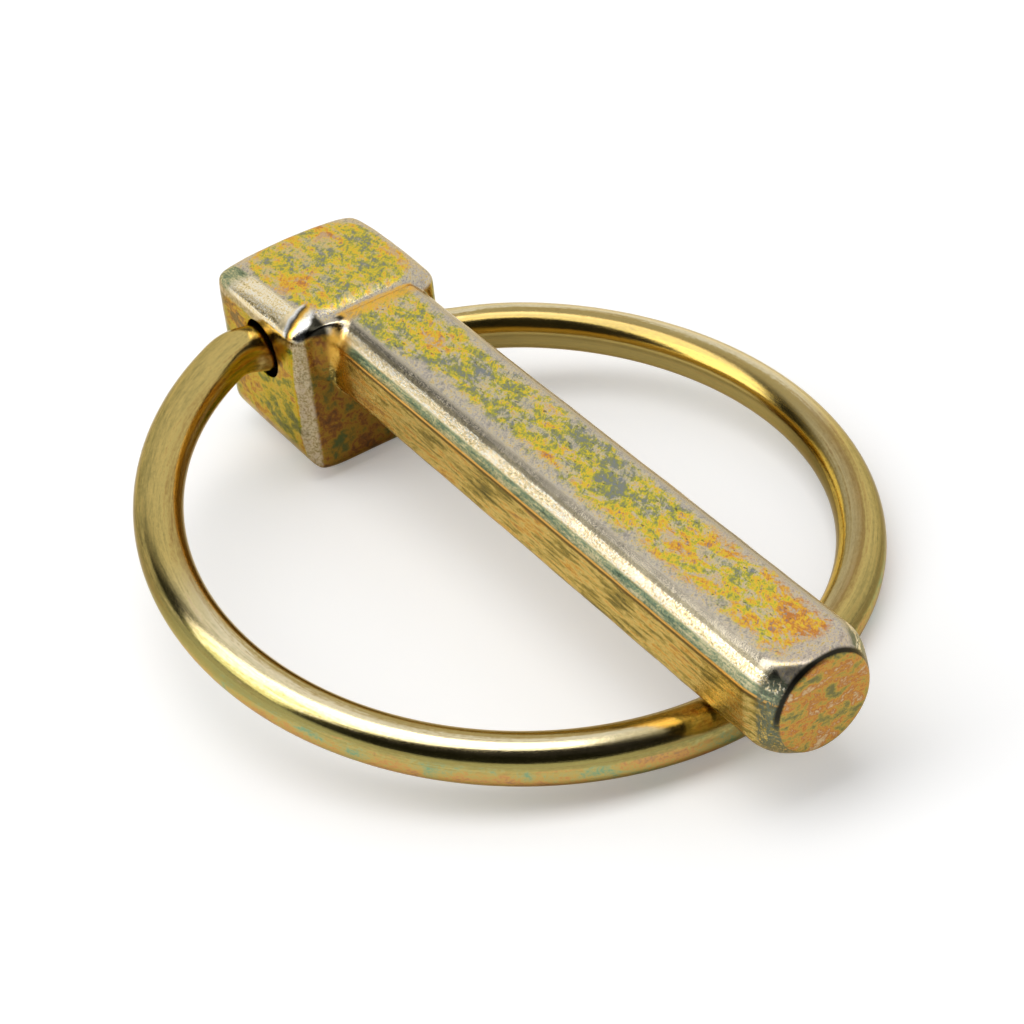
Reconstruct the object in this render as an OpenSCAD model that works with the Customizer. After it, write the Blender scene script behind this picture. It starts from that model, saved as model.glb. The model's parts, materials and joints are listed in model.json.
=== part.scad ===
// Linch pin: a forged pin with a block head, and a sprung wire ring hinged in a slanting hole
// through the head. Drawn as it lies, with the ring closed under the shank near the tip.
// Before it is laid down, X runs along the shank's axis to the tip, Y to the right and Z up, and
// the origin is on that axis at the head's bearing face.

/* [Shank] */
// Diameter of the round bar that the shank is flattened from, across its four long corners
bar_d = 10.7; // [10:0.1:12.2]
// Width of the shank over its two side flats
shank_w = 9.8; // [8.8:0.1:10]
// Height of the shank over its top and bottom flats
shank_h = 8.5; // [7.6:0.1:9.2]
// Usable length, from the head's bearing face to the inside of the closed ring
grip_l = 46.2; // [42:0.1:60]
// How far the tip stands out past the closed ring
tip_out = 7.3; // [5.5:0.1:12]
// Length of the narrowed tip
tip_l = 3; // [2:0.1:5]
// Diameter of the round end face
tip_d = 8.2; // [7:0.1:9]
// Radius of the rim where the top and bottom flats meet the end face
tip_rim_r = 0.6; // [0.3:0.1:1.5]
// Radius of the edge round the end face
tip_edge_r = 0.4; // [0.2:0.1:0.8]
// Radius that turns the shank's corners into the narrowed tip
tip_turn_r = 3; // [1:0.5:3.8]
// How far each side flat is drawn in at the end face
tip_draw = 0.6; // [0.2:0.1:0.8]
// Length over which the side flats are drawn in
tip_draw_l = 3.2; // [2:0.1:5]

/* [Head] */
// Length of the head along the shank
head_l = 15; // [13:0.1:18]
// Width of the head
head_w = 14.8; // [13:0.1:17]
// Height of the head's top above the shank's top flat, at the front
head_rise = 0.35; // [0.1:0.05:1]
// How far the top falls to the back and to the left
head_fall = 0.5; // [0:0.05:0.9]
// Depth of the head below the shank's bottom flat
head_drop = 7.2; // [5.5:0.1:10]
// How far the head sits to the left of the shank's axis
head_shift = 0.9; // [0:0.05:1.5]
// Slope of the underside, which rises to the back, in degrees
head_slope = 6; // [0:0.5:12]
// Radius of the upright edge left of the bearing face
head_ridge_r = 1.3; // [0.8:0.1:2]
// Radius of the upright edge right of the bearing face
head_front_r = 2.2; // [1:0.1:3]
// Radius of the two upright edges at the back
head_back_r = 3.2; // [1:0.1:4]
// Radius of the edges round the top, at the front, back and right
head_top_r = 2; // [0.6:0.1:3]
// Radius of the broad band along the top's left edge
head_band_r = 3.9; // [3.4:0.1:4.6]
// Width of that band, which ends in a sharp crease on the left side
head_band_w = 2.3; // [1.5:0.1:3]
// Radius of the lower edge under the bearing face
head_toe_r = 2.2; // [1:0.1:4]
// Radius of the lower edge at the back
head_heel_r = 5.6; // [2:0.1:6.5]
// Radius of the lower edges along both sides
head_side_r = 3.8; // [1:0.1:4.5]

/* [Neck] */
// Radius of the hollow fillet on each side, between shank and head
root_r = 2.1; // [1.5:0.1:2.1]
// Height of that fillet's middle above the shank's axis
root_rise = 1.5; // [0.5:0.1:2]
// Radius that the fillet has round the shank where it runs out
root_bend = 2.6; // [2.2:0.1:2.6]

/* [Hinge hole] */
// Distance of the hole behind the bearing face, where it crosses the shank's middle plane
hole_back = 5.1; // [4.6:0.1:7]
// Depth of the hole below the shank's axis, where it crosses the shank's middle plane
hole_drop = 2.6; // [1.5:0.1:4]
// Rise of the hole towards the left side, in degrees
hole_tilt = 16; // [10:0.5:20]
// Turn of the hole in plan, with its left mouth farther back, in degrees
hole_skew = 7; // [0:0.5:9]
// Running gap all round the wire in the hole
hole_gap = 0.5; // [0.2:0.05:0.8]

/* [Ring] */
// Diameter of the spring wire
wire_d = 4; // [3:0.1:4.4]
// How far the ring's centre lies to the left of the shank's axis
ring_shift = 1.3; // [0:0.1:3]
// Roll of the closed ring, with its right side lower, in degrees
ring_roll = 3.4; // [0:0.2:5]
// Where the left arm starts to leave the flat circle, in degrees before the tip's direction
arm_from = 45; // [30:1:80]
// Where the right arm leaves the flat circle, in degrees past the tip's direction
arm_to = 143; // [130:1:150]
// Straight wire that stands out of the head's side before the bend
mouth_l = 0.7; // [0.3:0.1:2]
// Length of the bend's tangents at each mouth of the hole
bend_l = 1.6; // [1.3:0.1:2.5]
// Length of straight wire in each mouth of the hole
end_l = 6.2; // [4:0.1:7]
// Gap between the closed ring and the shank's bottom flat
rest_gap = 0.3; // [0.1:0.05:0.6]

/* [Hidden] */
$fn = 96;

// Shank
top_z = shank_h / 2;
tip_x = grip_l + wire_d + tip_out;
// Length that any cutter runs past what it cuts
past = 20;
// Length that the shank runs on into the head
shank_in = 2;
// The ring is one wire drawn in stretches: every second stretch is thinner by lap_step and runs
// into its neighbours by lap, so that they join in clean steps too small to feel
lap = 0.1;
lap_step = 0.05;
// How far an arc stands proud of the straight that it runs into, so that the two cross cleanly
proud = 0.002;
// How far the neck's fillets run into the shank's sides and into the head's face, and stay below
// the shank's top flat, likewise
root_lap = 0.05;
face_lap = 0.02;

// Head, in the frame of the shank
head_top = top_z + head_rise;
head_bottom = -top_z - head_drop;
head_left = -head_shift - head_w / 2;
head_right = -head_shift + head_w / 2;
// Height of the heel arc's centre, from the slope of the tangent that it shares with the toe
heel_run = head_l - head_heel_r - head_toe_r;
heel_z = head_bottom + head_toe_r + (head_heel_r - head_toe_r) / cos(head_slope) + heel_run * tan(head_slope);

// Hinge hole: a straight line through the head, from its left mouth to its right one
hole_d = wire_d + 2 * hole_gap;
hole_run = [sin(hole_skew) * cos(hole_tilt), cos(hole_skew) * cos(hole_tilt), -sin(hole_tilt)];
function hole_at(y) = [-hole_back, 0, -hole_drop] + y / hole_run[1] * hole_run;
mouth_left = hole_at(head_left);
mouth_right = hole_at(head_right);

// Closed ring: a flat circle that meets the right mouth and passes under the shank at the grip
// length. Its plane falls by ring_roll to the right, and by fall to the tip, so that the wire
// keeps rest_gap to the long left corner of the bottom flat.
corner_y = -sqrt(max(pow(bar_d / 2, 2) - pow(top_z, 2), 0.01));
cross_x = grip_l + wire_d / 2;
cross_z = -top_z - rest_gap - wire_d / 2;
roll = tan(ring_roll);
fall = (mouth_right[2] - cross_z - roll * (corner_y - mouth_right[1])) / (cross_x - mouth_right[0]);
ring_z = unit([fall, roll, 1]);
ring_x = unit([1, 0, -fall]);
ring_y = cross(ring_z, ring_x);
reach = norm([1, 0, -fall]) * (cross_x - mouth_right[0]);
side_m = pow(mouth_right[1] + ring_shift, 2);
side_c = pow(corner_y + ring_shift, 2);
near = (reach + (side_c - side_m) / reach) / 2;
ring_r = sqrt(side_m + near * near);
ring_c = mouth_right + near * ring_x - (mouth_right[1] + ring_shift) * ring_y;

// Wire in the hole: each end leaves its mouth straight, then bends into the ring
left_out = mouth_left - mouth_l * hole_run;
right_out = mouth_right + mouth_l * hole_run;
left_start = ring_point(-arm_from);
right_start = ring_point(arm_to);

// Lying pose: the head's toe and the ring's lowest point both touch the floor
lie = lie_angle(-5, 20, 40);

function unit(v) = v / norm(v);
function ring_point(a) = ring_c + ring_r * (cos(a) * ring_x + sin(a) * ring_y);
function ring_tangent(a) = -sin(a) * ring_x + cos(a) * ring_y;

// Reach of the ring and of the head in the direction that points down when the tip is lowered by a
function ring_low(d) = d * ring_c + ring_r * norm(d - (d * ring_z) * ring_z) + wire_d / 2;
function head_low(d) = d * [-head_toe_r, 0, head_bottom + head_toe_r] + head_toe_r;
function lie_gap(a) = ring_low([sin(a), 0, -cos(a)]) - head_low([sin(a), 0, -cos(a)]);
function lie_angle(lo, hi, n) = n == 0 ? (lo + hi) / 2
    : lie_gap((lo + hi) / 2) > 0 ? lie_angle(lo, (lo + hi) / 2, n - 1)
    : lie_angle((lo + hi) / 2, hi, n - 1);

// Two arcs that join smoothly lead from p along t to q, which they reach along u. The second is
// tangent to its end over a length e, and this gives the first one's.
function arc_tangent(p, t, q, u, e) = let (w = q - e * u - p) (w * w - e * e) / (2 * (w * t + e));
function arc_joint(p, t, q, u, e, d) = p + d * t + (q - e * u - p - d * t) * d / (d + e);

// Puts its children at o, with their X along x and their Y along y
module place(o, x, y) {
    z = cross(x, y);
    multmatrix([[x[0], y[0], z[0], o[0]], [x[1], y[1], z[1], o[1]],
                [x[2], y[2], z[2], o[2]], [0, 0, 0, 1]])
        children();
}

// Wire of diameter d bent in one arc that leaves a along t and ends at b, and lapped at both ends
module wire_arc(a, t, b, d, lap) {
    chord = b - a;
    half = acos(chord * t / norm(chord));
    r = norm(chord) / 2 / sin(half);
    inward = unit(chord - (chord * t) * t);
    more = lap / r * 180 / PI;
    place(a + r * inward, -inward, t) rotate([0, 0, -more])
        rotate_extrude(angle = 2 * (half + more)) translate([r, 0]) circle(d = d);
}

// Straight round bar of diameter d from a to b
module wire_line(a, b, d) {
    side = unit(cross([1, 0, 0], b - a));
    place(a, side, cross(unit(b - a), side)) cylinder(d = d, h = norm(b - a));
}

// Wire that leaves the ring at p along t, bends into the hole at q along u, and ends there
module arm(p, t, q, u) {
    d = arc_tangent(p, t, q, u, bend_l);
    joint = arc_joint(p, t, q, u, bend_l, d);
    wire_arc(p, t, joint, wire_d - lap_step, lap);
    wire_arc(joint, unit(q - bend_l * u - joint), q, wire_d, 0);
    wire_line(q - lap * u, q + (mouth_l + end_l) * u, wire_d - lap_step);
}

// Direction square to the outer tangent of two circles, for outlines drawn anticlockwise
function outward(a, ra, b, rb) = let (u = unit(b - a), k = (ra - rb) / norm(b - a))
    k * u + sqrt(1 - k * k) * [u[1], -u[0]];

// Convex outline with straight sides and true arcs at its corners: c holds the arcs' centres,
// anticlockwise, and r their radii
module rounded(c, r) {
    n = len(c);
    polygon([for (i = [0:n - 1]) let (j = (i + 1) % n, v = outward(c[i], r[i], c[j], r[j]))
        each [c[i] + max(r[i] - proud, 0) * v, c[j] + max(r[j] - proud, 0) * v]]);
    for (i = [0:n - 1]) if (r[i] > 0) translate(c[i]) circle(r = r[i]);
}

// Extrusions of an outline: along X with the outline in Y and Z, along Y with it in X and Z
module along_x(from, to) translate([from, 0, 0]) rotate([90, 0, 90]) linear_extrude(to - from) children();
module along_y(from, to) translate([0, to, 0]) rotate([90, 0, 0]) linear_extrude(to - from) children();
// Turns an outline drawn in radius and length about the shank's axis
module about_x() rotate([0, 90, 0]) rotate_extrude() children();

// The head's outline seen from above, from its right side, and along the shank
module head_plan() {
    b = head_back_r;
    f = head_front_r;
    k = head_ridge_r;
    rounded([[b - head_l, head_left + b], [-k, head_left + k], [-f, head_right - f],
             [b - head_l, head_right - b]], [b, k, f, b]);
}
module head_profile() {
    t = head_top_r;
    rounded([[head_heel_r - head_l, heel_z], [-head_toe_r, head_bottom + head_toe_r],
             [-t, head_top - t], [t - head_l, head_top - head_fall - t]],
            [head_heel_r, head_toe_r, t, t]);
}
// The band's arc runs out past the left side, which head_plan() cuts off along the crease
module head_section() {
    t = head_top_r;
    s = head_side_r;
    rounded([[head_left + s, head_bottom + s], [head_right - s, head_bottom + s],
             [head_right - t, head_top - t], [head_left + head_band_w, head_top - head_band_r]],
            [s, s, t, head_band_r]);
}

// Hollow fillet between the shank's left side and the head. It is turned about a line beside the
// shank's axis, so that it fades out below the shank. On the right the head has no shoulder.
module neck() {
    r = root_bend + root_r;
    intersection() {
        translate([0, root_bend + root_lap - shank_w / 2, root_rise]) about_x() difference() {
            translate([0, -shank_in]) square([r, shank_in + root_r]);
            translate([r, root_r]) circle(r = root_r + face_lap);
        }
        translate([-past, -past, -past]) cube([2 * past, 2 * past, past + top_z - root_lap]);
    }
}

// Round bar with four flats, narrowed at the tip
module shank() {
    k = tip_rim_r;
    w = shank_w / 2;
    intersection() {
        about_x() intersection() {
            rounded([[0, -shank_in], [bar_d / 2, -shank_in], [bar_d / 2 - tip_turn_r, tip_x - tip_l],
                     [tip_d / 2 - tip_edge_r, tip_x - tip_edge_r], [0, tip_x]],
                    [0, 0, tip_turn_r, tip_edge_r, 0]);
            translate([0, -shank_in]) square([bar_d, tip_x + shank_in]);
        }
        along_y(-past, past)
            rounded([[-shank_in, -top_z], [tip_x - k, k - top_z], [tip_x - k, top_z - k],
                     [-shank_in, top_z]], [0, k, k, 0]);
        translate([0, 0, -past]) linear_extrude(2 * past)
            polygon([[-past, -w], [tip_x - tip_draw_l, -w], [tip_x, tip_draw - w],
                     [tip_x, w - tip_draw], [tip_x - tip_draw_l, w], [-past, w]]);
    }
}

// Forged pin with its slanting hinge hole
module pin() {
    color([0.76, 0.66, 0.36]) rotate([0, lie, 0]) difference() {
        union() {
            intersection() {
                translate([0, 0, head_bottom]) linear_extrude(head_top - head_bottom) head_plan();
                along_y(head_left, head_right) head_profile();
                along_x(-head_l, 0) head_section();
            }
            neck();
            shank();
        }
        wire_line(mouth_left - past * hole_run, mouth_right + past * hole_run, hole_d);
    }
}

// Sprung wire ring: a flat circle with two arms that bend into the hole's mouths
module ring() {
    color([0.70, 0.62, 0.30]) rotate([0, lie, 0]) {
        place(ring_c, ring_x, ring_y) rotate([0, 0, -arm_from])
            rotate_extrude(angle = arm_from + arm_to) translate([ring_r, 0]) circle(d = wire_d);
        arm(left_start, -ring_tangent(-arm_from), left_out, hole_run);
        arm(right_start, ring_tangent(arm_to), right_out, -hole_run);
    }
}

pin();
ring();
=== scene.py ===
import json
from math import acos, atan2, cos, degrees, radians, sin

import bpy
from mathutils import Matrix, Vector


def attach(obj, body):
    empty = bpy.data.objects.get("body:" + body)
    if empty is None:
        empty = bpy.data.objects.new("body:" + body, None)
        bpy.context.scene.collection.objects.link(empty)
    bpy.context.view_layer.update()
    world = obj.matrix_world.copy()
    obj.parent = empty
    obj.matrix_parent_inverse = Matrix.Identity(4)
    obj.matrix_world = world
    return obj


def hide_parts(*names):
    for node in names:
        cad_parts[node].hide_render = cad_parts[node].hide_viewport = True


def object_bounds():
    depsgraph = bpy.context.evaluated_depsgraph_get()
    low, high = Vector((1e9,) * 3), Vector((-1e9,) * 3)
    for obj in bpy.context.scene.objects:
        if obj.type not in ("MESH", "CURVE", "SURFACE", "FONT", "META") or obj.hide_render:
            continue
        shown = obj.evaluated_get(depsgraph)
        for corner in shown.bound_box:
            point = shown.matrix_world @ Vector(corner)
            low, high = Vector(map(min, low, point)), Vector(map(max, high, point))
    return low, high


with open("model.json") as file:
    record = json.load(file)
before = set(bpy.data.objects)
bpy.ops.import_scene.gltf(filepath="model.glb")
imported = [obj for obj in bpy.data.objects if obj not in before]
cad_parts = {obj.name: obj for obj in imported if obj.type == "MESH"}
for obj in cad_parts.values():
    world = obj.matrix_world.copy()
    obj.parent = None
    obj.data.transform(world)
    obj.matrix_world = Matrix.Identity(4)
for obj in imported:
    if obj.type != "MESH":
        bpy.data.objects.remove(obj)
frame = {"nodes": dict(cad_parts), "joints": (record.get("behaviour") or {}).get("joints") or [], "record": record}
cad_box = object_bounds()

# Pin: a short steel forging, a bar flattened on four sides that grows out of a block head. It is
# tumbled, so that every edge is soft, and zinc plated with a yellow passivation that is worn and
# mottled. Its mesh is shaped here with the shank along X, and then laid down as it rests.
shank_mount = [m for m in frame["record"]["mounts"] if m["name"] == "shank"][0]
dip = atan2(-shank_mount["axis"][2], shank_mount["axis"][0])
grain = 0.00011
edge_passes = 7
corner_passes = 60
knock_passes = 150
throat_passes = 90
tip_start = 0.0545
throat_mid = Vector((-0.0004, -0.0052, 0.0036))
flat_z = 0.00425
flat_edge_y = 0.00325
head_front = -0.0004
head_mid = Vector((-0.0075, -0.0009, -0.0034))
head_half = Vector((0.0075, 0.0074, 0.0080))
crown_mid = Vector((-0.0066, -0.0002))
crown_fall = 0.0012
crown_foot = 0.0006
dent_size = 0.0032
dent_depth = 0.00007
weld = 1e-6
weight_steps = 40
pin_faces = 95000
mm = 1000

bpy.ops.object.select_all(action="DESELECT")
pin = bpy.data.objects.new("forged_pin", frame["nodes"]["pin"].data.copy())
bpy.context.collection.objects.link(pin)
bpy.context.view_layer.objects.active = pin
pin.select_set(True)
bpy.ops.object.mode_set(mode="EDIT")
bpy.ops.mesh.select_all(action="SELECT")
bpy.ops.mesh.remove_doubles(threshold=weld)
bpy.ops.object.mode_set(mode="OBJECT")
pin.data.transform(Matrix.Rotation(-dip, 4, "Y"))
remesh = pin.modifiers.new("even", "REMESH")
remesh.mode = "VOXEL"
remesh.voxel_size = grain
bpy.ops.object.modifier_apply(modifier="even")


def weigh(name, weight):
    """Makes the vertex group name, in which each vertex has the share that weight gives."""
    group = pin.vertex_groups.new(name=name)
    shares = {}
    for vertex in pin.data.vertices:
        share = round(min(1, max(0, weight(vertex.co))) * weight_steps)
        if share:
            shares.setdefault(share, []).append(vertex.index)
    for share, indices in shares.items():
        group.add(indices, share / weight_steps, "REPLACE")


def ease(low, high, value):
    """Rises smoothly from 0 at low to 1 at high, or falls where high is the lower."""
    t = min(1, max(0, (value - low) / (high - low)))
    return t * t * (3 - 2 * t)


def crown(co):
    """How far the top of the head falls away from its middle."""
    if co.x > 0 or co.z < crown_foot:
        return 0
    along = (co.x - crown_mid.x) / 0.0084
    across = (co.y - crown_mid.y) / 0.0078
    if along > 0:
        along *= 0.75
    over = 0.2 * (along ** 2 + across ** 2) + 0.5 * (along * across) ** 2
    return min(1, over) * ease(crown_foot, flat_z, co.z)


def corners(co):
    """How much the bar's long edges, the tip and the top of the head are rounded."""
    bar_edge = ease(0.0014, 0.0007, abs(abs(co.y) - flat_edge_y)) * ease(0.0030, 0.0036, abs(co.z))
    if co.x > tip_start:
        return 0.6 * ease(tip_start, tip_start + 0.001, co.x)
    if co.x > head_front:
        return bar_edge * ease(0.0008, 0.0020, co.x)
    step = ease(-0.0024, -0.0014, co.x) * ease(0.0042, 0.0034, abs(co.y))
    return 0.4 * ease(0.0005, 0.0030, co.z) * (1 - step)


def knocks(co):
    """How much the head's eight corners are knocked round."""
    reach = [abs(co[i] - head_mid[i]) / head_half[i] for i in range(3)]
    return ease(2.15, 2.6, sum(reach)) * ease(0.0002, -0.0006, co.x)


def throat(co):
    """How much the left end of the step between head and bar is blended."""
    return ease(0.0030, 0.0014, (co - throat_mid).length)


weigh("crown", crown)
weigh("corners", corners)
weigh("knocks", knocks)
weigh("throat", throat)
lower = pin.modifiers.new("crown", "DISPLACE")
lower.vertex_group = "crown"
lower.direction = "Z"
lower.mid_level = 0
lower.strength = -crown_fall
bpy.ops.object.modifier_apply(modifier="crown")
for name, group, passes in (("edges", "", edge_passes), ("corners", "corners", corner_passes),
                            ("knocks", "knocks", knock_passes), ("throat", "throat", throat_passes)):
    soften = pin.modifiers.new(name, "SMOOTH")
    soften.vertex_group = group
    soften.factor = 0.5
    soften.iterations = passes
    bpy.ops.object.modifier_apply(modifier=name)
dents = bpy.data.textures.new("tumbling_dents", "CLOUDS")
dents.noise_scale = dent_size
dents.noise_depth = 1
dent = pin.modifiers.new("dents", "DISPLACE")
dent.texture = dents
dent.texture_coords = "LOCAL"
dent.mid_level = 0.95
dent.strength = dent_depth
bpy.ops.object.modifier_apply(modifier="dents")
thin = pin.modifiers.new("thin", "DECIMATE")
thin.ratio = min(1, pin_faces / len(pin.data.polygons))
bpy.ops.object.modifier_apply(modifier="thin")
pin.data.transform(Matrix.Rotation(dip, 4, "Y"))
bpy.ops.object.shade_smooth()


class Value:
    """A socket of a shader, so that a plain expression on it adds its Math nodes."""

    def __init__(self, tree, socket):
        self.tree = tree
        self.socket = socket

    def add(self, kind, settings, inputs, out=0):
        node = self.tree.nodes.new(kind)
        for name, setting in settings.items():
            if name == "stops":
                ramp = node.color_ramp
                while len(ramp.elements) < len(setting):
                    ramp.elements.new(0.5)
                for element, (place, colour) in zip(ramp.elements, setting):
                    element.position = place
                    element.color = (*colour, 1)
            else:
                setattr(node, name, setting)
        for name, value in inputs.items():
            if isinstance(value, Value):
                self.tree.links.new(value.socket, node.inputs[name])
            else:
                node.inputs[name].default_value = value
        return Value(self.tree, node.outputs[out])

    def maths(self, operation, *others):
        terms = dict(enumerate((self, *others)))
        return self.add("ShaderNodeMath", {"operation": operation}, terms)

    def __add__(self, other):
        return self.maths("ADD", other)

    def __radd__(self, other):
        return self + other

    def __sub__(self, other):
        return self.maths("SUBTRACT", other)

    def __rsub__(self, other):
        return self.add("ShaderNodeMath", {"operation": "SUBTRACT"}, {0: other, 1: self})

    def __mul__(self, other):
        return self.maths("MULTIPLY", other)

    def __rmul__(self, other):
        return self * other

    def __truediv__(self, other):
        return self.maths("DIVIDE", other)

    def __abs__(self):
        return self.maths("ABSOLUTE")

    def __pow__(self, power):
        return self.maths("POWER", power)

    def root(self):
        return self.maths("SQRT")

    def angle(self, beside):
        """The angle in radians that self, upright, makes with beside."""
        return self.maths("ARCTAN2", beside)

    def smallest(self, other):
        return self.maths("MINIMUM", other)

    def largest(self, other):
        return self.maths("MAXIMUM", other)

    def step(self, low, high):
        return self.add("ShaderNodeMapRange", {"interpolation_type": "SMOOTHSTEP"},
                        {0: self, 1: low, 2: high, 3: 0, 4: 1})

    def paint(self, under, over):
        colours = [(*c, 1) if isinstance(c, tuple) else c for c in (under, over)]
        return self.add("ShaderNodeMix", {"data_type": "RGBA"},
                        {0: self, 6: colours[0], 7: colours[1]}, 2)

    def noise(self, scale, detail, roughness=0.5, distortion=0):
        return self.add("ShaderNodeTexNoise", {}, {"Vector": self, "Scale": scale, "Detail": detail,
                        "Roughness": roughness, "Distortion": distortion})

    def ramp(self, *stops):
        return self.add("ShaderNodeValToRGB", {"stops": stops}, {0: self})

    def turned(self, scale, rotation=(0, 0, 0), location=(0, 0, 0)):
        return self.add("ShaderNodeMapping", {},
                        {"Vector": self, "Scale": scale, "Rotation": rotation, "Location": location})

    def axis(self, name):
        return self.add("ShaderNodeSeparateXYZ", {}, {0: self}, "XYZ".index(name))


pin_relief = 0.00006
worn_tint = (1, 0.86, 0.6, 1)
slate = (0.250, 0.270, 0.280)
moss = (0.290, 0.300, 0.120)
lime = (0.560, 0.520, 0.060)
yellow = (0.860, 0.640, 0.060)
amber = (0.840, 0.440, 0.060)
rust = (0.600, 0.230, 0.060)
ash = (0.600, 0.550, 0.470)
lilac = (0.520, 0.450, 0.400)
cream = (1.000, 0.840, 0.520)
teal = (0.200, 0.290, 0.190)
black = (0.030, 0.028, 0.020)
orange = (0.880, 0.500, 0.080)

pin_coat = bpy.data.materials.new("yellow_zinc_on_forging")
pin_coat.use_nodes = True
tree = pin_coat.node_tree
shader = tree.nodes["Principled BSDF"]
coords = Value(tree, tree.nodes.new("ShaderNodeTexCoord").outputs["Object"])
place = coords.turned((mm, mm, mm), (0, -dip, 0))
wobble = place.noise(0.8, 5, 0.65)
fine = place.noise(6, 3, 0.6)
x = place.axis("X")
true_y = place.axis("Y")
y = true_y + (wobble - 0.5) * 3.4 + (fine - 0.5) * 1.2
z = place.axis("Z")
from_axis = (true_y * true_y + z * z).root()
on_head = x.step(0.15, -0.2).largest(from_axis.step(5.35, 5.5))
broad = place.turned((0.20, 0.35, 0.35), (0, 0, 0), (3.1, 0.4, 0)).noise(1, 2, 0.5)
mottle = place.turned((0.8, 1.3, 1.3), (0, 0, 0.6)).noise(1, 8, 0.72, 0.35)
fleck = place.turned((1, 1, 1), (0, 0, 0.9), (7, 2, 5)).turned((1.4, 3.4, 2.4)).noise(1, 6, 0.75, 0.4)
shade = mottle + (broad - 0.5) * 0.6 + (fleck - 0.5) * 0.75
grey_fleck = (fleck + (mottle - 0.5) * 0.4).step(0.57, 0.66)
worn = (fine - 0.5) * 1.3 + (fleck - 0.5) * 1.6 + (mottle - 0.5) * 0.8 + 0.5
worn_metal = worn.ramp(
    (0.20, (0.36, 0.33, 0.28)), (0.38, lilac), (0.52, ash), (0.64, (0.72, 0.62, 0.42)),
    (0.78, (0.62, 0.46, 0.18)))

# Top of the shank
top = (shade + (x.step(30, 56) - 0.5) * 0.16).ramp(
    (0.22, slate), (0.36, moss), (0.44, lime), (0.50, yellow), (0.58, amber), (0.68, rust))
top = (grey_fleck * 0.85).paint(top, slate)
patch = place.turned((0.45, 0.9, 0.9), (0, 0, 0.3), (2, 7, 1)).noise(1, 7, 0.72, 0.7)
pale_fleck = (patch + (fleck - 0.5) * 0.5).step(0.52, 0.57)
top = (pale_fleck * 0.75).paint(top, worn_metal)
pits = (place.turned((1.2, 2.6, 2), (0, 0, -0.5)).noise(1.3, 2, 0.5)).step(0.665, 0.70)
top = (pits * 0.75).paint(top, (0.10, 0.09, 0.07))
left_border = (y + x.step(11, 3) * 1.5 - x.step(36, 16) * 0.4).step(-2.0, -2.8)
right_border = y.step(2.4, 3.0)
tip_border = (x + (wobble - 0.5) * 2).step(54.6, 55.4)
top = (left_border.largest(right_border).largest(tip_border) * 0.92).paint(top, worn_metal)

# Rounded corners of the bar, and the side flats with their streaks along the bar
streak = place.turned((0.24, 1.9, 1.9), (0, 0, 0)).noise(1.2, 7, 0.74, 0.3)
side = (streak + (broad - 0.5) * 0.35 + (fine - 0.5) * 0.15).ramp(
    (0.34, (0.10, 0.09, 0.03)), (0.42, (0.30, 0.23, 0.06)), (0.48, (0.52, 0.37, 0.09)),
    (0.54, (0.80, 0.62, 0.22)), (0.59, (0.72, 0.38, 0.06)), (0.68, (0.40, 0.24, 0.10)))
band = (streak + (fine - 0.5) * 0.5).ramp(
    (0.36, (0.09, 0.12, 0.07)), (0.45, teal), (0.53, (0.38, 0.40, 0.22)), (0.62, (0.66, 0.60, 0.36)))
turn = abs(true_y).angle(z.largest(0)) * degrees(1)
ragged = turn + (fine - 0.5) * 5 + (streak - 0.5) * 4
bar = (abs(true_y) + (fine - 0.5) * 0.3).step(2.9, 3.3).paint(top, (0.52, 0.46, 0.35))
# Lines of paint along the corner stand in for reflections: a darker line, a pale painted highlight, a dark teal
# band, an orange painted highlight on the crease and a dark line under it.
painted_gleam = (fine + (streak - 0.5) * 0.8).ramp(
    (0.26, (0.30, 0.24, 0.10)), (0.37, (0.84, 0.66, 0.32)), (0.47, cream), (0.62, (1.0, 0.94, 0.78)))
bar = ragged.step(42, 44).paint(bar, (0.36, 0.31, 0.20))
bar = ragged.step(46, 47.5).paint(bar, painted_gleam)
bar = ragged.step(55.5, 57.5).paint(bar, band)
# Orange painted highlight on the crease, and under it a dark line of painted reflection.
bar = turn.step(64.8, 65.6).paint(bar, (0.85, 0.48, 0.12))
bar = turn.step(67.0, 67.8).paint(bar, (0.16, 0.10, 0.03))
bar = (turn + (fine - 0.5) * 2).step(69.5, 71.5).paint(bar, side)
on_side = turn.step(66, 67)
end_grain = place.turned((1, 0.7, 1.5), (0.6, 0, 0)).noise(0.7, 6, 0.66, 0.4)
end = (0.5 + (end_grain - 0.5) * 1.7 + (fleck - 0.5) * 0.6).ramp(
    (0.26, (0.20, 0.19, 0.08)), (0.38, (0.36, 0.30, 0.08)), (0.46, (0.54, 0.36, 0.08)),
    (0.53, (0.64, 0.30, 0.07)), (0.60, (0.46, 0.18, 0.05)), (0.72, (0.66, 0.48, 0.26)))
# The dark mottled facet on the tip's corner and the dark ring above the end face are painted reflections too.
bar = (x.step(55.2, 55.8) * turn.step(38, 44) * fleck.step(0.42, 0.52)).paint(bar, (0.16, 0.18, 0.12))
bar = (x.step(56.75, 57.0) * z.step(-1.0, 1.0)).paint(bar, black)
bar = (x.step(57.15, 57.3) * (from_axis + (fine - 0.5) * 0.3).step(4.15, 4.0)).paint(bar, end)

# Head: crown with a pale rim, and darker faces
over_x = (abs(x + 7.4 + (wobble - 0.5) * 1.2) / 6.9) ** 4
over_y = (abs(true_y + 0.3 + (wobble - 0.5)) / 6.0) ** 4
crown_rim = (over_x + over_y).step(0.66, 0.82)
cap = (shade + 0.02).ramp((0.29, slate), (0.38, moss), (0.45, lime), (0.51, yellow), (0.60, amber),
                          (0.70, rust))
cap = (grey_fleck * 0.6).paint(cap, slate)
cap = (pale_fleck * 0.55).paint(cap, worn_metal)
cap = (crown_rim * 0.9).paint(cap, worn_metal)
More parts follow.
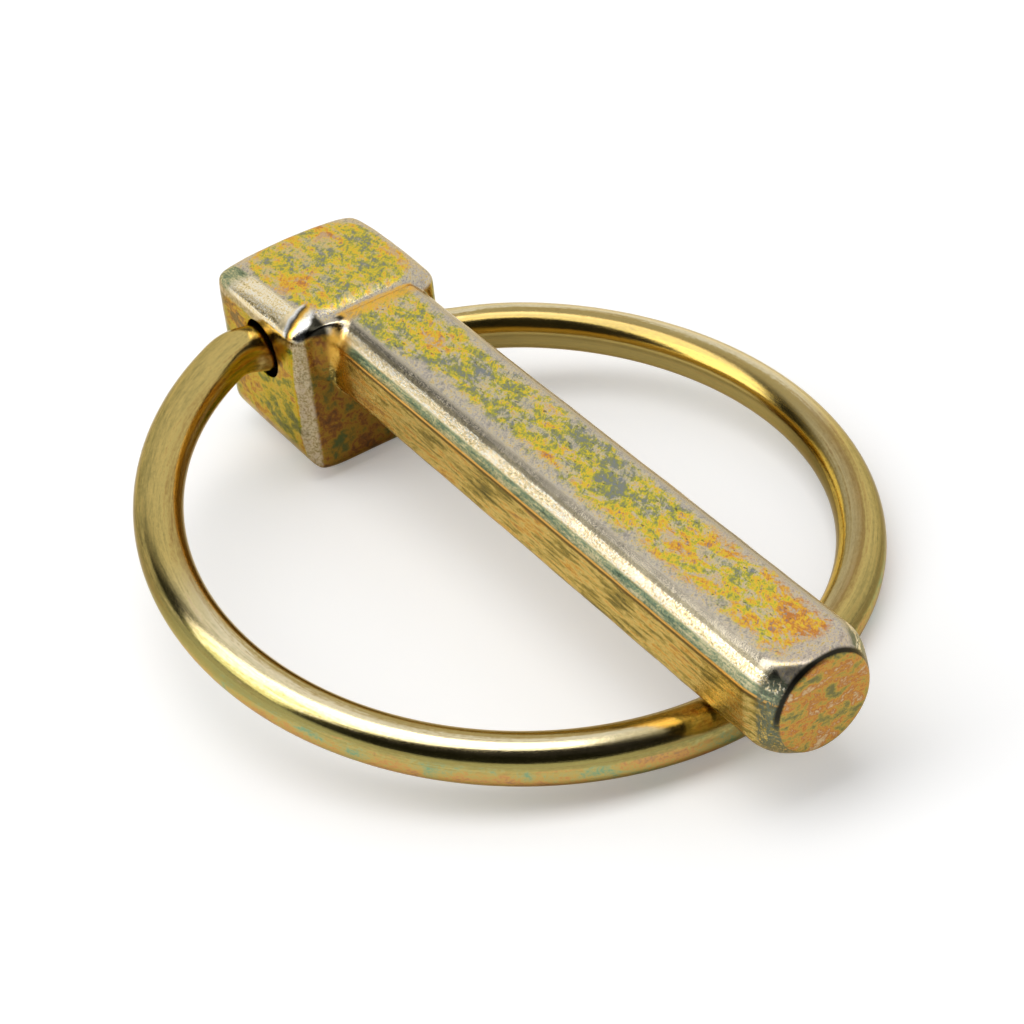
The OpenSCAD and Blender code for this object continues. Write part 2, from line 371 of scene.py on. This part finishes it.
# The bright left edge, the dark band at its back end and the stripes at its front end are painted reflections.
shine = true_y.step(-5.9, -6.3) * (x + (wobble - 0.5) * 2).step(-11.5, -9.5)
cap = (true_y.step(-5.9, -6.3) * (1 - shine)).paint(cap, band)
cap = shine.paint(cap, painted_gleam)
glints = ((x + (wobble - 0.5) * 0.8 + (true_y + 6) * 0.5 + 4) / 4).ramp(
    (0.22, cream), (0.30, (0.95, 0.93, 0.88)), (0.40, black), (0.50, orange), (0.58, cream),
    (0.68, (0.80, 0.78, 0.74)), (0.80, black))
cap = (true_y.step(-4.9, -5.4) * x.step(-3.3, -2.9)).paint(cap, glints)
patchy = mottle + (broad - 0.5) * 0.9 + (fleck - 0.5) * 0.3
flank = (patchy + 0.01).ramp(
    (0.30, (0.05, 0.08, 0.03)), (0.40, (0.17, 0.19, 0.02)), (0.47, (0.44, 0.33, 0.02)),
    (0.53, (0.56, 0.40, 0.03)), (0.60, (0.46, 0.19, 0.02)), (0.70, (0.16, 0.09, 0.03)))
flank = (x.step(-10.5, -13.5) * 0.7).paint(flank, (0.17, 0.16, 0.04))
edge_metal = worn.ramp(
    (0.22, (0.28, 0.21, 0.10)), (0.46, (0.46, 0.37, 0.22)), (0.60, (0.60, 0.50, 0.34)))
strip = (z + (wobble - 0.5) * 1.0).step(2.2, 2.6) * true_y.step(-7.7, -8.1)
ridge = (x + (wobble - 0.5) * 0.9 - z * 0.03).step(-0.95, -0.7) * true_y.step(-6.9, -7.2)
flank = (strip.largest(ridge) * 0.9).paint(flank, edge_metal)
# The front face, which faces the bar, has its own mottle darkened with painted shade.
front = (patchy + 0.03).ramp(
    (0.32, (0.10, 0.12, 0.04)), (0.43, (0.22, 0.15, 0.03)), (0.52, (0.36, 0.20, 0.03)),
    (0.60, (0.26, 0.11, 0.03)), (0.72, (0.14, 0.07, 0.03)))
flank = (x.step(-0.6, -0.2) * true_y.step(-7.4, -6.8)).paint(flank, front)
head = (z + (wobble - 0.5) * 0.5).step(2.9, 3.3).paint(flank, cap)

colour = on_head.paint(bar, head)
# Foot of the crown and the throat: their orange is the plating's colour and partly a painted reflection, and the
# black crease is a painted reflection.
valley = x.step(-0.7, -0.4) * x.step(1.5, 0.6) * z.step(3.3, 3.8) * abs(true_y).step(3.9, 3.5)
colour = (valley * (0.5 + fleck.step(0.4, 0.6) * 0.5)).paint(colour, orange)
crease = abs(x - 0.2).step(0.5, 0.2) * true_y.step(-3.3, -3.7)
crease = crease * z.step(1.4, 2.2) * from_axis.step(5.9, 5.6)
colour = crease.paint(colour, black)
throat_tint_and_reflection = x.step(0.3, 0.7) * x.step(3.2, 1.6) * true_y.step(-4.0, -4.3) * z.step(-2.5, -1.5)
colour = (throat_tint_and_reflection * 0.8).paint(colour, orange)
tree.links.new(colour.socket, shader.inputs["Base Color"])
polish = (crown_rim * on_head).largest((abs(true_y).step(3.0, 3.3)) * (1 - on_head) * (1 - on_side))
rough = 0.26 + mottle * 0.16 + (fleck - 0.5) * 0.2 - polish * 0.18 - on_side * 0.08
tree.links.new(rough.socket, shader.inputs["Roughness"])
shader.inputs["Metallic"].default_value = 1
shader.inputs["Specular Tint"].default_value = worn_tint
relief = fine * 0.35 + fleck * 0.7 + mottle * 0.6
bump = relief.add("ShaderNodeBump", {}, {"Height": relief, "Strength": 0.5, "Distance": pin_relief})
tree.links.new(bump.socket, shader.inputs["Normal"])
pin.data.materials.clear()
pin.data.materials.append(pin_coat)
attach(pin, "pin_body")
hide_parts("pin")

# Ring: hard-drawn spring wire, bent to a flat circle whose two arms turn out of its plane into
# the slanting hole of the head, where they end short of each other. Plated like the pin.
wire_r = 0.001978
ring_r = 0.0268977
ring_mid = Vector((0.0211625, -0.00128631, -0.00629785))
ring_up = Vector((0.096292, 0.0592312, 0.993589)).normalized()
arm_from = radians(45)
arm_to = radians(143)
bend_l = 0.0016
mouth_l = 0.0007
end_l = 0.0062
face_left = -0.0083
face_right = 0.0065
wire_sides = 40
wire_step = 0.0005
wire_relief = 0.00005

ring_out = Vector((ring_up.z, 0, -ring_up.x)).normalized()
ring_side = ring_up.cross(ring_out)
hinge = frame["joints"][0]
bore_mid = Vector(hinge["pos_m"])
bore = Vector(hinge["axis"]).normalized()
left_out = bore_mid + (face_left - bore_mid.y) / bore.y * bore - mouth_l * bore
right_out = bore_mid + (face_right - bore_mid.y) / bore.y * bore + mouth_l * bore


def ring_point(angle):
    return ring_mid + ring_r * (cos(angle) * ring_out + sin(angle) * ring_side)


def ring_way(angle):
    return cos(angle) * ring_side - sin(angle) * ring_out


def arm_joint(start, way, end, end_way):
    """Where the two arcs meet that lead from start along way to end along end_way."""
    span = end - bend_l * end_way - start
    lead = (span.dot(span) - bend_l ** 2) / (2 * (span.dot(way) + bend_l))
    return start + lead * way + (span - lead * way) * lead / (lead + bend_l)


def bend(start, way, end):
    """Spins the selected end of the wire along the arc that leaves start along way to end."""
    chord = end - start
    half = acos(min(1, chord.normalized().dot(way)))
    radius = chord.length / 2 / sin(half)
    inward = (chord - chord.dot(way) * way).normalized()
    steps = max(4, round(2 * half * radius / wire_step))
    bpy.ops.mesh.spin(steps=steps, angle=-2 * half, center=start + radius * inward,
                      axis=way.cross(inward), use_auto_merge=False, use_normal_flip=False)
    return (2 * chord.dot(way) / chord.length ** 2 * chord - way).normalized()


left_start = ring_point(-arm_from)
right_start = ring_point(arm_to)
left_joint = arm_joint(left_start, -ring_way(-arm_from), left_out, bore)
right_joint = arm_joint(right_start, ring_way(arm_to), right_out, -bore)
wire_end = left_out + (mouth_l + end_l) * bore

bpy.ops.object.select_all(action="DESELECT")
bpy.ops.mesh.primitive_circle_add(vertices=wire_sides, radius=wire_r, location=wire_end,
                                  rotation=(-bore).to_track_quat("Z", "Y").to_euler())
ring = bpy.context.object
ring.name = "spring_ring"
bpy.ops.object.transform_apply(location=True, rotation=True, scale=False)
bpy.ops.object.mode_set(mode="EDIT")
bpy.ops.mesh.select_all(action="SELECT")
bpy.ops.mesh.extrude_region_move(TRANSFORM_OT_translate={"value": left_out - wire_end})
way = bend(left_out, -bore, left_joint)
way = bend(left_joint, way, left_start)
way = bend(left_start, ring_way(-arm_from), ring_point((arm_to - arm_from) / 2))
way = bend(ring_point((arm_to - arm_from) / 2), way, right_start)
way = bend(right_start, ring_way(arm_to), right_joint)
way = bend(right_joint, way, right_out)
bpy.ops.mesh.extrude_region_move(TRANSFORM_OT_translate={"value": -(mouth_l + end_l) * bore})
bpy.ops.mesh.select_all(action="DESELECT")
bpy.ops.mesh.select_non_manifold(extend=False, use_boundary=True)
bpy.ops.mesh.fill_holes(sides=0)
bpy.ops.mesh.select_all(action="SELECT")
bpy.ops.mesh.remove_doubles(threshold=weld)
bpy.ops.mesh.normals_make_consistent(inside=False)
bpy.ops.object.mode_set(mode="OBJECT")
bpy.ops.object.shade_smooth_by_angle(angle=radians(40))

ring_coat = bpy.data.materials.new("yellow_zinc_on_wire")
ring_coat.use_nodes = True
tree = ring_coat.node_tree
shader = tree.nodes["Principled BSDF"]
coords = Value(tree, tree.nodes.new("ShaderNodeTexCoord").outputs["Object"])
across = Matrix((ring_out, ring_side, ring_up)).to_euler()
flat_ring = coords.add("ShaderNodeVectorMath", {"operation": "SUBTRACT"}, {0: coords, 1: ring_mid})
flat_ring = flat_ring.turned((mm, mm, mm), tuple(across))
u = flat_ring.axis("X")
v = flat_ring.axis("Y")
w = flat_ring.axis("Z")
ring_angle = v.angle(u)
around = ring_angle * (ring_r * mm)
out = (u * u + v * v).root() - ring_r * mm
wire = out.add("ShaderNodeCombineXYZ", {}, {0: around, 1: out, 2: w})
die_lines = wire.turned((0.07, 3.0, 3.0)).noise(1, 5, 0.7, 0.3)
scuffs = wire.turned((0.9, 2.5, 2.5)).noise(2, 3, 0.7)
draw = die_lines + (scuffs - 0.5) * 0.4
cloud = wire.turned((0.25, 0.5, 0.5)).noise(1, 4, 0.6, 0.5)
speck = wire.noise(4, 4, 0.7)
gold = (draw + (cloud - 0.5) * 0.4).ramp(
    (0.24, (0.17, 0.15, 0.05)), (0.37, (0.34, 0.28, 0.09)), (0.48, (0.47, 0.36, 0.11)),
    (0.57, (0.60, 0.43, 0.12)), (0.70, (0.48, 0.25, 0.06)))
under = (cloud + (speck - 0.5) * 0.5).ramp(
    (0.34, (0.26, 0.42, 0.24)), (0.43, (0.50, 0.46, 0.18)), (0.52, (0.60, 0.44, 0.13)),
    (0.60, (0.68, 0.36, 0.12)), (0.72, (0.42, 0.24, 0.14)))
low = (w + (speck - 0.5) * 0.6 + (draw - 0.5) * 2).step(0.9, 0.3) * out.step(0.3, 1.1)
section = w.angle(out) * degrees(1) + (draw - 0.5) * 50
section = section + section.step(-100, -101) * 360
# These bands run along the wire, pale where it gleams and brown on the arms: they are paint in
# place of reflections, and keep their place under other light.
level = section / 220 + (speck - 0.5) * 0.05
arm_bands = level.ramp(
    (0.05, (0.30, 0.30, 0.10)), (0.16, (0.12, 0.09, 0.03)), (0.24, (0.34, 0.27, 0.09)),
    (0.34, (0.66, 0.50, 0.17)), (0.41, (0.30, 0.18, 0.06)), (0.52, (0.50, 0.41, 0.22)),
    (0.60, (0.18, 0.12, 0.03)), (0.66, (0.85, 0.56, 0.08)), (0.72, (0.12, 0.08, 0.02)))
front_bands = level.ramp(
    (0.05, (0.42, 0.38, 0.13)), (0.20, (0.28, 0.25, 0.08)), (0.27, (0.74, 0.63, 0.36)),
    (0.38, (0.97, 0.86, 0.60)), (0.44, (0.46, 0.35, 0.14)), (0.54, (0.30, 0.22, 0.08)),
    (0.66, (0.60, 0.42, 0.10)), (0.76, (0.40, 0.30, 0.10)))
facing = (ring_angle * 2 + radians(110)).maths("COSINE")
bands = facing.step(-0.3, 0.5).paint(arm_bands, front_bands)
gold = (speck * 0.3 + 0.65).paint(gold, bands)
gold = low.paint(gold, under)
tree.links.new(gold.socket, shader.inputs["Base Color"])
tree.links.new((0.07 + cloud * 0.10 + speck * 0.06).socket, shader.inputs["Roughness"])
shader.inputs["Metallic"].default_value = 1
shader.inputs["Specular Tint"].default_value = worn_tint
relief = draw * 0.6 + speck * 0.25
bump = relief.add("ShaderNodeBump", {}, {"Height": relief, "Strength": 0.25, "Distance": wire_relief})
tree.links.new(bump.socket, shader.inputs["Normal"])
ring.data.materials.append(ring_coat)
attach(ring, "ring_body")
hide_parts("ring")

# Studio: a pale seamless floor under a wide soft box, high on the object's left. Past the floor the
# camera sees white. The metal mirrors a pale room instead, dark overhead on the camera's side.
floor_z = cad_box[0][2]
floor_size = 6
floor_grey = (0.9, 0.9, 0.9, 1)
floor_lift = 0.20
white = (1, 1, 1, 1)
bpy.ops.object.select_all(action="DESELECT")
bpy.ops.mesh.primitive_plane_add(size=floor_size, location=(0, 0, floor_z))
floor = bpy.context.object
floor.name = "studio_floor"
bpy.ops.object.transform_apply(location=True, rotation=False, scale=False)
floor_white = bpy.data.materials.new("seamless_white")
floor_white.use_nodes = True
tree = floor_white.node_tree
shader = tree.nodes["Principled BSDF"]
shader.inputs["Base Color"].default_value = floor_grey
shader.inputs["Roughness"].default_value = 0.9
shader.inputs["Specular IOR Level"].default_value = 0
shader.inputs["Emission Color"].default_value = white
seen = Value(tree, tree.nodes.new("ShaderNodeLightPath").outputs["Is Camera Ray"])
tree.links.new((seen * floor_lift).socket, shader.inputs["Emission Strength"])
floor.data.materials.append(floor_white)

wall_top = 0.32
wall_glow = 0.90
back_glow = 0.80
dark_glow = 0.02
dark_way = Vector((0.5, -0.866, 0))
world = bpy.data.worlds.new("studio")
bpy.context.scene.world = world
world.use_nodes = True
tree = world.node_tree
sky = Value(tree, tree.nodes.new("ShaderNodeTexCoord").outputs["Generated"])
height = sky.axis("Z")
side = sky.add("ShaderNodeVectorMath", {"operation": "DOT_PRODUCT"}, {0: sky, 1: dark_way}, 1)
dark_side = side.step(-0.30, 0.10)
glow = back_glow + dark_side * (dark_glow - back_glow)
glow = glow + height.step(wall_top + 0.05, wall_top - 0.05) * (wall_glow - glow)
seen = Value(tree, tree.nodes.new("ShaderNodeLightPath").outputs["Is Camera Ray"])
glow = glow + seen * (1 - glow)
backdrop = tree.nodes["Background"]
backdrop.inputs["Color"].default_value = white
tree.links.new(glow.socket, backdrop.inputs["Strength"])


strip_at = Vector((-0.07, -0.24, 0.50))
strip_along = Vector((0.36, 0.93, 0))
strip_aim = Vector((0.021, -0.001, 0))
strip = bpy.data.lights.new("strip", "AREA")
strip.shape = "RECTANGLE"
strip.size = 1.00
strip.size_y = 0.36
strip.energy = 3.2
strip_box = bpy.data.objects.new("strip", strip)
back = (strip_at - strip_aim).normalized()
across = back.cross(strip_along).normalized()
strip_box.location = strip_at
strip_box.rotation_euler = Matrix((across.cross(back), across, back)).transposed().to_euler()
bpy.context.collection.objects.link(strip_box)

camera_at = (0.1625379, -0.0837886, 0.1142751)
camera_turn = (53.5942, 5.8431, 55.6316)
lens = bpy.data.cameras.new("view")
lens.lens = 90.223
lens.sensor_width = 36
lens.clip_start = 0.01
camera = bpy.data.objects.new("view", lens)
camera.location = camera_at
camera.rotation_euler = [radians(angle) for angle in camera_turn]
bpy.context.collection.objects.link(camera)
bpy.context.scene.camera = camera
bpy.context.scene.view_settings.view_transform = "Standard"
